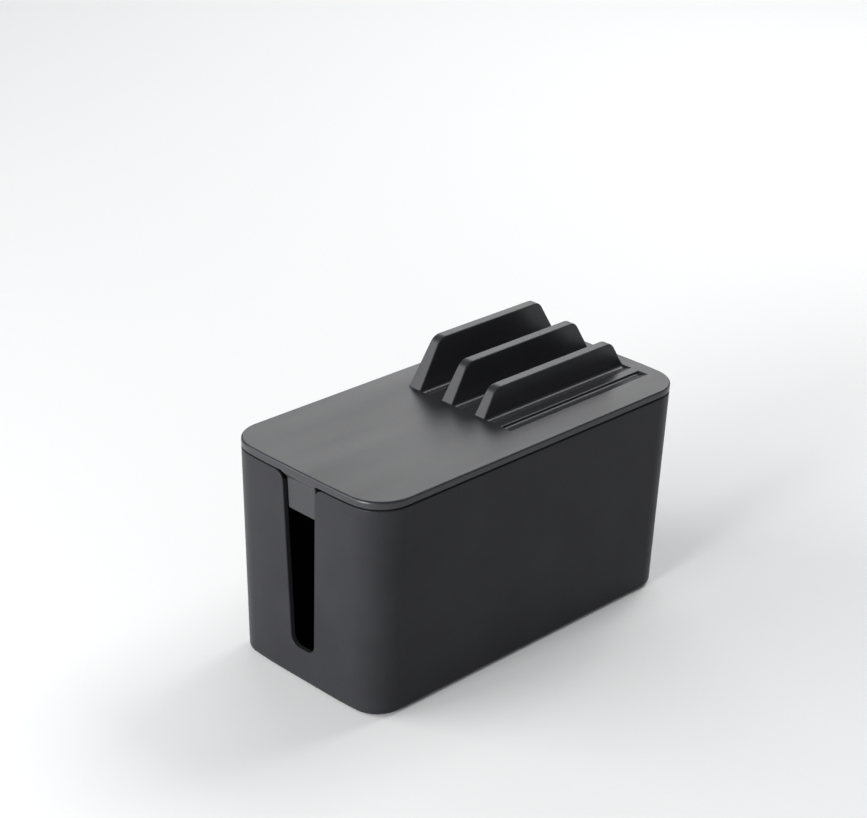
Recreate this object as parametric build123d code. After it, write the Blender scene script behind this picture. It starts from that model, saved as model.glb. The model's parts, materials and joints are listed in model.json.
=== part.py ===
"""A small cable management box: an open bin with a cable slot in each end wall, and a lift-off lid.

The lid carries a flat area for a charging pad at one end and three upright fins that hold a phone and
tablets at the other. X runs along the box, Y across it and Z up. The origin is at the middle of the
footprint, on the surface that the four feet stand on. All sizes are in millimetres.
"""

import os
from math import radians, tan

from build123d import *

# Outer form: one drafted envelope that the bin and the lid share.
TOP_LENGTH = 236.0
TOP_WIDTH = 115.6
TOP_CORNER = 20.7
BASE_LENGTH = 227.6
BASE_WIDTH = 108.5
BASE_CORNER = 16.1
BASE_Z = 1.0
LID_TOP_Z = 125.9

# Each end wall is flat in the middle and turns back a little towards its corners.
END_BEND_Y = 29.0
END_TURN_BACK = 1.85
END_BEND_RADIUS = 230.0

# Bin.
WALL = 2.8
FLOOR = 3.0
RIM_Z = 120.9
RIM_WALL = 1.2
LEDGE_Z = 116.6
BASE_EDGE_RADIUS = 2.2
INNER_FLOOR_RADIUS = 2.0
RIM_EDGE_RADIUS = 0.55

# Cable slot in each end wall, narrowing downwards.
SLOT_FOOT_Z = 20.8
SLOT_FOOT_HALF_WIDTH = 8.6
SLOT_RIM_HALF_WIDTH = 12.3
SLOT_FOOT_RADIUS = 6.0
SLOT_SHOULDER_RADIUS = 6.0

# Feet.
FOOT_DIAMETER = 12.0
FOOT_THICKNESS = 2.2
FOOT_CLEARANCE = 0.1
FOOT_EDGE_RADIUS = 0.4
FOOT_INSET_X = 20.0
FOOT_INSET_Y = 18.0

# Lid shell.
SEAM_GAP = 0.9
LID_PLATE = 2.6
LID_BAND = 2.6
LID_EDGE_RADIUS = 1.1
LID_UNDER_EDGE_RADIUS = 0.3
LIP_CLEARANCE = 0.35
LIP_THICKNESS = 1.6
LIP_BREAK = 40.0

# Tab that hangs from each end of the lid and closes the top of the cable slot.
TAB_FOOT_Z = 101.0
TAB_SIDE_GAP = 1.4
TAB_RECESS = 1.85
TAB_THICKNESS = 2.2
TAB_SHOULDER_RADIUS = 4.0
TAB_FOOT_RADIUS = 1.2
TAB_EDGE_RADIUS = 0.8
JOGGLE_TOP_Z = 122.4
JOGGLE_FOOT_Z = 117.6
JOGGLE_HANDLE = 2.0

# Fins, from the front one to the rear one, all on the same stretch of the lid.
FIN_COUNT = 3
FIN_FRONT_Y = -19.2
FIN_PITCH = 24.2
FIN_FIRST_HEIGHT = 15.3
FIN_HEIGHT_STEP = 5.7
FIN_TOP_THICKNESS = 5.7
FIN_DRAFT = 3.4
FIN_END_ANGLE = 31.5
FIN_CORNER_RADIUS = 7.5
FIN_EDGE_RADIUS = 0.8
FIN_ROOT_RADIUS = 1.0
FIN_WALL = 2.0
RACK_CENTRE_X = 52.6
RACK_LENGTH = 112.0

# Ramped grooves for the foot of a phone or tablet: deep at the rear, running out to the front.
# One lies along the foot of each fin, and one more in front of the first fin.
GROOVE_LENGTH = 7.0
GROOVE_DEPTH = 2.0
GROOVE_END_INSET = 0.3
FIN_GROOVE_RADIUS = 2.2
OUTER_GROOVE_RADIUS = 1.0
OUTER_GROOVE_Y = -31.3
OUTER_GROOVE_EDGE_RADIUS = 0.6
GROOVE_FLOOR_WALL = 1.8
GROOVE_REAR_WALL = 0.5

OVERCUT = 5.0
GROOVE_OVERCUT = 2.0
ROOT_MARGIN = 3.0
TOLERANCE = 0.01
BAND_Z = RIM_Z + SEAM_GAP
PLATE_UNDER_Z = LID_TOP_Z - LID_PLATE
CENTRE_LOW = (Align.CENTER, Align.CENTER, Align.MIN)


def height_share(z):
    """How far up the drafted envelope a height lies, from 0 at its base to 1 at its top."""
    return (z - BASE_Z) / (LID_TOP_Z - BASE_Z)


def outer_section(z, inset=0.0):
    """Outline of the outer envelope at height z, moved inwards by inset."""
    share = height_share(z)
    x = (BASE_LENGTH + (TOP_LENGTH - BASE_LENGTH) * share) / 2 - inset
    y = (BASE_WIDTH + (TOP_WIDTH - BASE_WIDTH) * share) / 2 - inset
    corner = BASE_CORNER + (TOP_CORNER - BASE_CORNER) * share - inset
    right_end = [(x - END_TURN_BACK, -y), (x, -END_BEND_Y), (x, END_BEND_Y), (x - END_TURN_BACK, y)]
    left_end = [(-px, -py) for px, py in right_end]
    outline = make_face(Polyline(*right_end, *left_end, close=True))
    bends = [v for v in outline.vertices() if abs(v.Y) < y - TOLERANCE]
    outline = fillet(bends, END_BEND_RADIUS)
    corners = [v for v in outline.vertices() if abs(v.Y) > y - TOLERANCE]
    return Plane.XY.offset(z) * fillet(corners, corner)


def envelope(low_z, high_z, inset=0.0):
    """Solid slice of the drafted envelope between two heights."""
    return loft([outer_section(low_z, inset), outer_section(high_z, inset)], ruled=True)


def end_wall_x(z, inset=0.0):
    """Distance from the centre to the outer face of an end wall at height z."""
    length = BASE_LENGTH + (TOP_LENGTH - BASE_LENGTH) * height_share(z)
    return length / 2 - inset


def slot_half_width(z):
    """Half the width of the cable slot at height z."""
    share = (z - SLOT_FOOT_Z) / (RIM_Z - SLOT_FOOT_Z)
    return SLOT_FOOT_HALF_WIDTH + (SLOT_RIM_HALF_WIDTH - SLOT_FOOT_HALF_WIDTH) * share


def mirrored_outline(right_side):
    """Closed face from the points of its right-hand side, listed from the bottom up."""
    left_side = [(-y, z) for y, z in reversed(right_side)]
    return make_face(Polyline(*right_side, *left_side, close=True))


def round_points(face, radius, points):
    """Round the corners of a face that lie at the given points."""
    corners = [
        v for v in face.vertices()
        if any(abs(v.X - y) < TOLERANCE and abs(v.Y - z) < TOLERANCE for y, z in points)
    ]
    return fillet(corners, radius)


def both_sides(y, z):
    """A point and its mirror image across the centre line."""
    return [(y, z), (-y, z)]


def slot_profile():
    """Cable slot seen along the box, with rounded shoulders at the rim and a rounded foot."""
    outside = SLOT_RIM_HALF_WIDTH + 2 * SLOT_SHOULDER_RADIUS
    profile = mirrored_outline([
        (SLOT_FOOT_HALF_WIDTH, SLOT_FOOT_Z),
        (SLOT_RIM_HALF_WIDTH, RIM_Z),
        (outside, RIM_Z),
        (outside, RIM_Z + OVERCUT),
    ])
    profile = round_points(profile, SLOT_FOOT_RADIUS, both_sides(SLOT_FOOT_HALF_WIDTH, SLOT_FOOT_Z))
    return round_points(profile, SLOT_SHOULDER_RADIUS, both_sides(SLOT_RIM_HALF_WIDTH, RIM_Z))


def foot_places():
    """Name and centre of each foot."""
    x = BASE_LENGTH / 2 - FOOT_INSET_X
    y = BASE_WIDTH / 2 - FOOT_INSET_Y
    return {
        "foot_front_left": (-x, -y),
        "foot_front_right": (x, -y),
        "foot_rear_left": (-x, y),
        "foot_rear_right": (x, y),
    }


def rim_and_slot_edges(body):
    """Outer edges of the rim and of both cable slots, which run into each other smoothly."""
    outer_faces = [
        f for f in body.faces()
        if abs(f.bounding_box().max.Z - RIM_Z) < TOLERANCE
        and f.bounding_box().min.Z < SLOT_FOOT_Z
        and f.normal_at(f.center()).dot(Vector(f.center().X, f.center().Y, 0)) > 0
    ]
    edges = []
    for face in outer_faces:
        for edge in face.edges():
            low, high = edge.bounding_box().min.Z, edge.bounding_box().max.Z
            on_rim = low > RIM_Z - TOLERANCE
            on_slot = abs(edge.center().Y) < SLOT_RIM_HALF_WIDTH + SLOT_SHOULDER_RADIUS
            on_slot = on_slot and low > SLOT_FOOT_Z - TOLERANCE and high < RIM_Z + TOLERANCE
            if on_rim or on_slot:
                edges.append(edge)
    return edges


def make_body():
    """Open bin with a stepped rim, a cable slot in each end wall and a pocket for each foot."""
    outer = envelope(BASE_Z, RIM_Z)
    outer = fillet(outer.faces().sort_by(Axis.Z)[0].edges(), BASE_EDGE_RADIUS)
    cavity = envelope(BASE_Z + FLOOR, RIM_Z + OVERCUT, WALL)
    cavity = fillet(cavity.faces().sort_by(Axis.Z)[0].edges(), INNER_FLOOR_RADIUS)
    body = outer - cavity
    body -= envelope(LEDGE_Z, RIM_Z + OVERCUT, RIM_WALL)
    body -= extrude(Plane.YZ * slot_profile(), amount=TOP_LENGTH, both=True)
    body = fillet(rim_and_slot_edges(body), RIM_EDGE_RADIUS)
    pocket = Cylinder(FOOT_DIAMETER / 2 + FOOT_CLEARANCE, FOOT_THICKNESS - BASE_Z, align=CENTRE_LOW)
    for x, y in foot_places().values():
        body -= Pos(x, y, BASE_Z) * pocket
    return body


def make_foot(x, y):
    """Round rubber foot that fills its pocket and stands out below the base."""
    foot = Cylinder(FOOT_DIAMETER / 2, FOOT_THICKNESS, align=CENTRE_LOW)
    foot = fillet(foot.faces().sort_by(Axis.Z)[0].edges(), FOOT_EDGE_RADIUS)
    return Pos(x, y, 0) * foot


def fin_height(index):
    """Height of a fin above the lid."""
    return FIN_FIRST_HEIGHT + FIN_HEIGHT_STEP * index


def fin_front_y(index):
    """Where the front face of a fin meets the lid."""
    return FIN_FRONT_Y + FIN_PITCH * index


def tapered_face(centre, half_top, top_z, foot_z, angle):
    """Symmetric trapezoid between two heights whose sides lean in by an angle."""
    half_foot = half_top + (top_z - foot_z) * tan(radians(angle))
    return make_face(
        Polyline(
            (centre - half_foot, foot_z),
            (centre + half_foot, foot_z),
            (centre + half_top, top_z),
            (centre - half_top, top_z),
            close=True,
        )
    )


def fin_solid(index, foot_z, inset=0.0):
    """Upright fin with drafted faces and sloping ends, made smaller all round by inset."""
    height = fin_height(index)
    top_z = LID_TOP_Z + height
    centre_y = fin_front_y(index) + FIN_TOP_THICKNESS / 2 + height * tan(radians(FIN_DRAFT))
    half_length = RACK_LENGTH / 2 - height * tan(radians(FIN_END_ANGLE))
    section = tapered_face(centre_y, FIN_TOP_THICKNESS / 2, top_z, foot_z, FIN_DRAFT)
    side = tapered_face(RACK_CENTRE_X, half_length, top_z, foot_z, FIN_END_ANGLE)
    side = fillet(side.vertices().sort_by(Axis.Y)[-2:], FIN_CORNER_RADIUS)
    if inset:
        section = offset(section, amount=-inset)
        side = offset(side, amount=-inset)
    across = extrude(Plane.XZ * side, amount=TOP_WIDTH, both=True)
    along = extrude(Plane.YZ * section, amount=TOP_LENGTH, both=True)
    return across & along


def make_fin(index):
    """Fin with rounded edges and a rounded root, on a thin slab that sinks into the lid's plate."""
    fin = fin_solid(index, LID_TOP_Z - ROOT_MARGIN / 2)
    edges = [e for e in fin.edges() if e.bounding_box().max.Z > LID_TOP_Z]
    fin = fillet(edges, FIN_EDGE_RADIUS)
    box = fin.bounding_box()
    slab = Pos(box.center().X, box.center().Y, LID_TOP_Z) * Box(
        box.size.X + 2 * ROOT_MARGIN,
        box.size.Y + 2 * ROOT_MARGIN,
        ROOT_MARGIN / 2,
        align=(Align.CENTER, Align.CENTER, Align.MAX),
    )
    fin += slab
    top = fin.faces().filter_by(lambda f: abs(f.center().Z - LID_TOP_Z) < TOLERANCE)[0]
    return fillet(top.inner_wires()[0].edges(), FIN_ROOT_RADIUS)


def groove_places():
    """Where the rear wall of each groove meets the top of the lid, and its foot radius."""
    fin_feet = [(fin_front_y(index), FIN_GROOVE_RADIUS) for index in range(FIN_COUNT)]
    return [*fin_feet, (OUTER_GROOVE_Y, OUTER_GROOVE_RADIUS)]


def groove_hollow(rear_y, foot_radius):
    """The space of one groove: a drafted rear wall, a rounded foot and a ramp up to the lid."""
    lean = tan(radians(FIN_DRAFT))
    foot = (rear_y - GROOVE_DEPTH * lean, LID_TOP_Z - GROOVE_DEPTH)
    ramp_run = GROOVE_LENGTH * GROOVE_OVERCUT / GROOVE_DEPTH
    profile = make_face(
        Polyline(
            foot,
            (rear_y + GROOVE_OVERCUT * lean, LID_TOP_Z + GROOVE_OVERCUT),
            (rear_y - GROOVE_LENGTH - ramp_run, LID_TOP_Z + GROOVE_OVERCUT),
            (rear_y - GROOVE_LENGTH, LID_TOP_Z),
            close=True,
        )
    )
    profile = round_points(profile, foot_radius, [foot])
    half_length = RACK_LENGTH / 2 - GROOVE_END_INSET
    return Pos(RACK_CENTRE_X, 0, 0) * extrude(Plane.YZ * profile, amount=half_length, both=True)


def groove_underside(rear_y):
    """Thickening below the plate that keeps a floor under one groove."""
    low_z = LID_TOP_Z - GROOVE_DEPTH - GROOVE_FLOOR_WALL
    rear = rear_y + GROOVE_REAR_WALL
    profile = make_face(
        Polyline(
            (rear, low_z),
            (rear, LID_TOP_Z - GROOVE_DEPTH / 2),
            (rear_y - GROOVE_LENGTH, LID_TOP_Z - GROOVE_DEPTH / 2),
            (rear_y - GROOVE_LENGTH, PLATE_UNDER_Z),
            (rear_y - GROOVE_LENGTH / 3, low_z),
            close=True,
        )
    )
    return Pos(RACK_CENTRE_X, 0, 0) * extrude(Plane.YZ * profile, amount=RACK_LENGTH / 2, both=True)


def tab_side_profile():
    """Tab seen from the long side: flush with the band at the top, then stepped inwards."""
    outer_top = (end_wall_x(JOGGLE_TOP_Z), JOGGLE_TOP_Z)
    outer_mid = (end_wall_x(JOGGLE_FOOT_Z, TAB_RECESS), JOGGLE_FOOT_Z)
    outer_foot = (end_wall_x(TAB_FOOT_Z, TAB_RECESS), TAB_FOOT_Z)
    inner_inset = TAB_RECESS + TAB_THICKNESS
    joggle = Bezier(
        outer_top,
        (end_wall_x(JOGGLE_TOP_Z - JOGGLE_HANDLE), JOGGLE_TOP_Z - JOGGLE_HANDLE),
        (end_wall_x(JOGGLE_FOOT_Z + JOGGLE_HANDLE, TAB_RECESS), JOGGLE_FOOT_Z + JOGGLE_HANDLE),
        outer_mid,
    )
    rest = Polyline(
        outer_mid,
        outer_foot,
        (end_wall_x(TAB_FOOT_Z, inner_inset), TAB_FOOT_Z),
        (end_wall_x(PLATE_UNDER_Z, inner_inset), PLATE_UNDER_Z),
        (end_wall_x(PLATE_UNDER_Z), PLATE_UNDER_Z),
        outer_top,
    )
    return make_face([joggle, rest])


def tab_front_profile():
    """Tab seen along the box: parallel to the slot, flaring into the band at the top."""
    foot_half_width = slot_half_width(TAB_FOOT_Z) - TAB_SIDE_GAP
    band_half_width = slot_half_width(BAND_Z) - TAB_SIDE_GAP
    outside = band_half_width + 2 * TAB_SHOULDER_RADIUS
    profile = mirrored_outline([
        (foot_half_width, TAB_FOOT_Z),
        (band_half_width, BAND_Z),
        (outside, BAND_Z),
        (outside, PLATE_UNDER_Z),
    ])
    profile = round_points(profile, TAB_FOOT_RADIUS, both_sides(foot_half_width, TAB_FOOT_Z))
    return round_points(profile, TAB_SHOULDER_RADIUS, both_sides(band_half_width, BAND_Z))


def make_tab():
    """Tab at the right-hand end of the lid."""
    across = extrude(Plane.XZ * tab_side_profile(), amount=TOP_WIDTH, both=True)
    along = extrude(Plane.YZ * tab_front_profile(), amount=TOP_LENGTH)
    tab = across & along
    edges = []
    for edge in tab.edges():
        middle = edge @ 0.5
        outer_x = end_wall_x(middle.Z, TAB_RECESS)
        if middle.X > outer_x - TAB_EDGE_RADIUS / 2 and middle.Z < PLATE_UNDER_Z - TOLERANCE:
            edges.append(edge)
    return fillet(edges, TAB_EDGE_RADIUS)


def lid_shell():
    """Plate and side band of the lid, with a lip inside the rim that stops short of each tab."""
    shell = envelope(BAND_Z, LID_TOP_Z)
    shell = fillet(shell.faces().sort_by(Axis.Z)[-1].edges(), LID_EDGE_RADIUS)
    shell = fillet(shell.faces().sort_by(Axis.Z)[0].edges(), LID_UNDER_EDGE_RADIUS)
    shell -= envelope(BAND_Z - OVERCUT, PLATE_UNDER_Z, LID_BAND)
    lip_inset = RIM_WALL + LIP_CLEARANCE
    lip = envelope(LEDGE_Z, PLATE_UNDER_Z, lip_inset)
    lip -= envelope(LEDGE_Z - OVERCUT, PLATE_UNDER_Z, lip_inset + LIP_THICKNESS)
    lip -= Pos(0, 0, LEDGE_Z) * Box(TOP_LENGTH, LIP_BREAK, LID_TOP_Z)
    return shell + lip


def round_outer_groove(lid):
    """Round the top edge of the rear wall of the groove that stands on its own."""
    edges = [
        e for e in lid.edges()
        if abs(e.center().Y - OUTER_GROOVE_Y) < TOLERANCE and abs(e.center().Z - LID_TOP_Z) < TOLERANCE
    ]
    return fillet(edges, OUTER_GROOVE_EDGE_RADIUS)


def make_lid():
    """Lid with a flat charging area at its left, device fins at its right and a tab at each end."""
    lid = lid_shell()
    tab = make_tab()
    lid += tab
    lid += mirror(tab, about=Plane.YZ)
    for rear_y, _ in groove_places():
        lid += groove_underside(rear_y)
    for index in range(FIN_COUNT):
        lid += make_fin(index)
    for rear_y, foot_radius in groove_places():
        lid -= groove_hollow(rear_y, foot_radius)
    lid = round_outer_groove(lid)
    for index in range(FIN_COUNT):
        lid -= fin_solid(index, PLATE_UNDER_Z - OVERCUT, FIN_WALL)
    return lid


def main():
    """Write every piece to its own file."""
    os.makedirs("parts", exist_ok=True)
    pieces = {"box_body": make_body(), "lid": make_lid()}
    for name, (x, y) in foot_places().items():
        pieces[name] = make_foot(x, y)
    for name, piece in pieces.items():
        piece.label = name
        export_step(piece, f"parts/{name}.step")


main()
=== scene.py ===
"""Studio scene for the cable box: finishes for its pieces, soft light, a pale floor and the camera."""

import json
from math import cos, radians, sin

import bpy
from mathutils import Matrix, Vector

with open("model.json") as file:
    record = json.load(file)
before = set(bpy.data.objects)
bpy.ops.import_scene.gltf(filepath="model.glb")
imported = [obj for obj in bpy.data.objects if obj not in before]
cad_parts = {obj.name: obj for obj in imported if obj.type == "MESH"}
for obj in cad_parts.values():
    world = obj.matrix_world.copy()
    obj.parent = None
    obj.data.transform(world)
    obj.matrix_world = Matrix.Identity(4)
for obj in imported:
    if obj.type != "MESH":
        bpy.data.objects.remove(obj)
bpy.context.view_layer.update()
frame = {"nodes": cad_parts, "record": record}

# Camera, as a distance and direction from the point on the lid that it looks at. The lens and
# sensor are in millimetres; every other length in this file is in metres.
AZIMUTH = radians(-45.49)
ELEVATION = radians(24.68)
ROLL = radians(1.70)
DISTANCE = 1.1663
AIM = Vector((-0.0142, 0.0080, 0.1260))
LENS = 90.66
SENSOR = 36.0

# Studio: a pale floor and an even surrounding light.
FLOOR_SIZE = 14.0
FLOOR_COLOUR = (0.92, 0.92, 0.92)
FLOOR_ROUGHNESS = 0.8
FLOOR_SPECULAR = 0.2
WORLD_COLOUR = (0.93, 0.96, 1.0)
WORLD_STRENGTH = 0.18

# Soft lights: where each stands, its width and height and its power in watts. All face one point.
LIGHTS = {
    "rear_softbox": {"place": (1.5, 1.35, 1.05), "size": (1.9, 0.9), "power": 13.0},
    "right_softbox": {"place": (1.2, 0.0, 1.25), "size": (0.9, 0.9), "power": 13.5},
    "left_softbox": {"place": (-1.4, 1.0, 0.8), "size": (1.7, 1.3), "power": 24.0},
    "left_low_softbox": {"place": (-1.5, -0.15, 0.3), "size": (0.5, 0.5), "power": 28.0},
}
LIGHTS_FACE = Vector((0.0, 0.0, 0.08))

# Moulded plastic: the tone of its darker and paler clouds, its shine and its roughness. The bin and the
# lid are one plastic: the bin's darker tones are painted shade and the lid's paler tones are painted
# light.
PLASTICS = {
    "bin_plastic": {
        # The bin's tones, darker than the lid's: painted shade.
        "dark": (0.0178, 0.0180, 0.0205),
        "pale": (0.0232, 0.0235, 0.0265),
        "specular": 0.12,
        "roughness": 0.40,
    },
    "lid_plastic": {
        # The lid's tones, paler than the bin's: painted light.
        "dark": (0.0200, 0.0203, 0.0232),
        "pale": (0.0262, 0.0266, 0.0300),
        "specular": 0.38,
        "roughness": 0.33,
    },
}

# Patterns in the plastic, in spots to the metre, and the middle range of a pattern that is used.
FINE_GRAIN = 2600
COARSE_GRAIN = 900
CLOUDS = 28
FLOW = 22
FLOW_STRETCH = (0.35, 2.2, 1.0)
RUBBING = 160
PATTERN_LOW = 0.3
PATTERN_HIGH = 0.7

# Relief of the grain, and how far the flow and the grain change the roughness.
FINE_GRAIN_DEPTH = 0.00002
FINE_GRAIN_STRENGTH = 0.6
COARSE_GRAIN_DEPTH = 0.00004
COARSE_GRAIN_STRENGTH = 0.35
ROUGHNESS_SPREAD = 0.03

# Edges rubbed paler and smoother by handling, in patches.
EDGE_TONE = (0.045, 0.046, 0.049)
EDGE_RADIUS = 0.0009
EDGE_SAMPLES = 6
EDGE_WEAR_START = 0.02
EDGE_WEAR_END = 0.22
EDGE_WEAR_STRENGTH = 0.35
EDGE_POLISH = 0.06
RUBBING_LOW = 0.38
RUBBING_HIGH = 0.62
RUBBING_LEAST = 0.25

# Rubber.
RUBBER_DARK = (0.008, 0.008, 0.0085)
RUBBER_LIGHT = (0.014, 0.014, 0.0145)
RUBBER_SPECULAR = 0.25
RUBBER_GRAIN = 1400
RUBBER_GRAIN_DEPTH = 0.00008
RUBBER_GRAIN_STRENGTH = 0.7
DUST = 240
DUST_LOW = 0.35
RUBBER_ROUGHNESS_LOW = 0.72
RUBBER_ROUGHNESS_HIGH = 0.86

# The mix node's sockets for two colours and their blend.
MIX_FIRST = 6
MIX_SECOND = 7
MIX_RESULT = 2


def aimed(place, target):
    """Matrix of an object at a place, with its -Z axis towards the target."""
    turn = (target - place).to_track_quat("-Z", "Y")
    return Matrix.Translation(place) @ turn.to_matrix().to_4x4()


def make_camera():
    """Camera at the viewing angle of the product picture."""
    back = Vector((sin(AZIMUTH) * cos(ELEVATION), -cos(AZIMUTH) * cos(ELEVATION), sin(ELEVATION)))
    right = Vector((cos(AZIMUTH), sin(AZIMUTH), 0))
    up = back.cross(right)
    x_axis = cos(ROLL) * right + sin(ROLL) * up
    y_axis = cos(ROLL) * up - sin(ROLL) * right
    data = bpy.data.cameras.new("camera")
    data.lens = LENS
    data.sensor_width = SENSOR
    camera = bpy.data.objects.new("camera", data)
    bpy.context.scene.collection.objects.link(camera)
    turn = Matrix((x_axis, y_axis, back)).transposed().to_4x4()
    camera.matrix_world = Matrix.Translation(AIM + back * DISTANCE) @ turn
    bpy.context.scene.camera = camera


def make_light(name, place, size, power):
    """Rectangular soft light that faces the box and doesn't show in the picture itself."""
    data = bpy.data.lights.new(name, "AREA")
    data.shape = "RECTANGLE"
    data.size, data.size_y = size
    data.energy = power
    light = bpy.data.objects.new(name, data)
    light.visible_camera = False
    light.matrix_world = aimed(Vector(place), LIGHTS_FACE)
    bpy.context.scene.collection.objects.link(light)


def make_world():
    """Even surrounding light."""
    world = bpy.data.worlds.new("studio")
    world.use_nodes = True
    background = world.node_tree.nodes["Background"]
    background.inputs["Color"].default_value = (*WORLD_COLOUR, 1)
    background.inputs["Strength"].default_value = WORLD_STRENGTH
    bpy.context.scene.world = world


def make_floor():
    """Plain pale floor under the feet."""
    half = FLOOR_SIZE / 2
    mesh = bpy.data.meshes.new("floor")
    corners = [(-half, -half, 0), (half, -half, 0), (half, half, 0), (-half, half, 0)]
    mesh.from_pydata(corners, [], [(0, 1, 2, 3)])
    floor = bpy.data.objects.new("floor", mesh)
    bpy.context.scene.collection.objects.link(floor)
    material = bpy.data.materials.new("floor")
    material.use_nodes = True
    shader = material.node_tree.nodes["Principled BSDF"]
    shader.inputs["Base Color"].default_value = (*FLOOR_COLOUR, 1)
    shader.inputs["Roughness"].default_value = FLOOR_ROUGHNESS
    shader.inputs["Specular IOR Level"].default_value = FLOOR_SPECULAR
    mesh.materials.append(material)


class Finish:
    """A procedural material, built up node by node in the object's own coordinates."""

    def __init__(self, name, specular):
        self.material = bpy.data.materials.new(name)
        self.material.use_nodes = True
        self.tree = self.material.node_tree
        self.shader = self.tree.nodes["Principled BSDF"]
        self.shader.inputs["Specular IOR Level"].default_value = specular
        self.place = self.tree.nodes.new("ShaderNodeTexCoord").outputs["Object"]

    def node(self, kind, inputs, **settings):
        """New node; each input takes a plain value or the output of another node."""
        node = self.tree.nodes.new(kind)
        for setting, value in settings.items():
            setattr(node, setting, value)
        for socket, value in inputs.items():
            if isinstance(value, bpy.types.NodeSocket):
                self.tree.links.new(value, node.inputs[socket])
            else:
                node.inputs[socket].default_value = value
        return node

    def noise(self, per_metre, detail, stretch=(1, 1, 1)):
        """Cloudy pattern with a number of spots to the metre, stretched along an axis if asked."""
        mapping = self.node("ShaderNodeMapping", {"Vector": self.place, "Scale": stretch})
        pattern = self.node(
            "ShaderNodeTexNoise",
            {"Vector": mapping.outputs["Vector"], "Scale": per_metre, "Detail": detail},
        )
        return pattern.outputs["Fac"]

    def spread(self, value, low, high, new_low, new_high):
        """Map a range of values to a new one, held at its ends."""
        mapped = self.node(
            "ShaderNodeMapRange",
            {"Value": value, "From Min": low, "From Max": high, "To Min": new_low, "To Max": new_high},
        )
        return mapped.outputs["Result"]

    def math(self, first, second, operation="ADD"):
        """Two values added, or put through another operation."""
        return self.node("ShaderNodeMath", {0: first, 1: second}, operation=operation).outputs["Value"]

    def mix(self, factor, first, second):
        """Blend of two colours."""
        node = self.node("ShaderNodeMix", {"Factor": factor}, data_type="RGBA")
        for place, colour in ((MIX_FIRST, first), (MIX_SECOND, second)):
            socket = node.inputs[place]
            if isinstance(colour, bpy.types.NodeSocket):
                self.tree.links.new(colour, socket)
            else:
                socket.default_value = (*colour, 1)
        return node.outputs[MIX_RESULT]

    def bump(self, height, depth, strength, under=None):
        """Relief of a given depth in metres, laid over another relief if there is one."""
        inputs = {"Height": height, "Distance": depth, "Strength": strength}
        if under is not None:
            inputs["Normal"] = under
        return self.node("ShaderNodeBump", inputs).outputs["Normal"]

    def edge_wear(self):
        """How far the surface turns within a small radius, from 0 on a flat to 1 on a worn edge."""
        bevel = self.node("ShaderNodeBevel", {"Radius": EDGE_RADIUS}, samples=EDGE_SAMPLES)
        flat = self.node("ShaderNodeNewGeometry", {}).outputs["Normal"]
        normals = {0: bevel.outputs["Normal"], 1: flat}
        dot = self.node("ShaderNodeVectorMath", normals, operation="DOT_PRODUCT")
        turn = self.math(1.0, dot.outputs["Value"], "SUBTRACT")
        return self.spread(turn, EDGE_WEAR_START, EDGE_WEAR_END, 0.0, 1.0)

    def finish(self, colour, roughness, normal):
        """Feed the shader."""
        self.tree.links.new(colour, self.shader.inputs["Base Color"])
        self.tree.links.new(roughness, self.shader.inputs["Roughness"])
        self.tree.links.new(normal, self.shader.inputs["Normal"])
        return self.material


def moulded_plastic(name, dark, pale, specular, roughness):
    """Charcoal plastic from a spark-eroded mould: fine grain, faint flow clouds and polished edges."""
    finish = Finish(name, specular)
    grain = finish.noise(FINE_GRAIN, detail=2)
    coarse_grain = finish.noise(COARSE_GRAIN, detail=1)
    clouds = finish.noise(CLOUDS, detail=3)
    flow = finish.noise(FLOW, detail=2, stretch=FLOW_STRETCH)
    rubbing = finish.noise(RUBBING, detail=4)
    patches = finish.spread(rubbing, RUBBING_LOW, RUBBING_HIGH, RUBBING_LEAST, 1.0)
    worn = finish.math(finish.edge_wear(), patches, "MULTIPLY")
    colour = finish.mix(finish.spread(clouds, PATTERN_LOW, PATTERN_HIGH, 0.0, 1.0), dark, pale)
    colour = finish.mix(finish.math(worn, EDGE_WEAR_STRENGTH, "MULTIPLY"), colour, EDGE_TONE)
    lowest = roughness - ROUGHNESS_SPREAD
    highest = roughness + ROUGHNESS_SPREAD
    base = finish.spread(flow, PATTERN_LOW, PATTERN_HIGH, lowest, highest)
    speckle = finish.spread(grain, PATTERN_LOW, PATTERN_HIGH, -ROUGHNESS_SPREAD, ROUGHNESS_SPREAD)
    polish = finish.spread(worn, 0.0, 1.0, 0.0, -EDGE_POLISH)
    rough = finish.math(finish.math(base, speckle), polish)
    relief = finish.bump(coarse_grain, COARSE_GRAIN_DEPTH, COARSE_GRAIN_STRENGTH)
    relief = finish.bump(grain, FINE_GRAIN_DEPTH, FINE_GRAIN_STRENGTH, relief)
    return finish.finish(colour, rough, relief)


def rubber(name):
    """Soft black rubber with a dull, dusty surface."""
    finish = Finish(name, RUBBER_SPECULAR)
    grain = finish.noise(RUBBER_GRAIN, detail=4)
    dust = finish.noise(DUST, detail=3)
    colour = finish.mix(finish.spread(dust, DUST_LOW, PATTERN_HIGH, 0.0, 1.0), RUBBER_DARK, RUBBER_LIGHT)
    rough = finish.spread(dust, PATTERN_LOW, PATTERN_HIGH, RUBBER_ROUGHNESS_LOW, RUBBER_ROUGHNESS_HIGH)
    return finish.finish(colour, rough, finish.bump(grain, RUBBER_GRAIN_DEPTH, RUBBER_GRAIN_STRENGTH))


make_camera()
make_world()
make_floor()
for name, light in LIGHTS.items():
    make_light(name, **light)
bpy.context.scene.view_settings.view_transform = "Standard"

finishes = {name: moulded_plastic(name, **plastic) for name, plastic in PLASTICS.items()}
finishes["foot_rubber"] = rubber("foot_rubber")
slots = {part["node"]: part["material_slot"] for part in frame["record"]["subparts"]}
for name, node in frame["nodes"].items():
    node.data.materials.clear()
    node.data.materials.append(finishes[slots[name]])
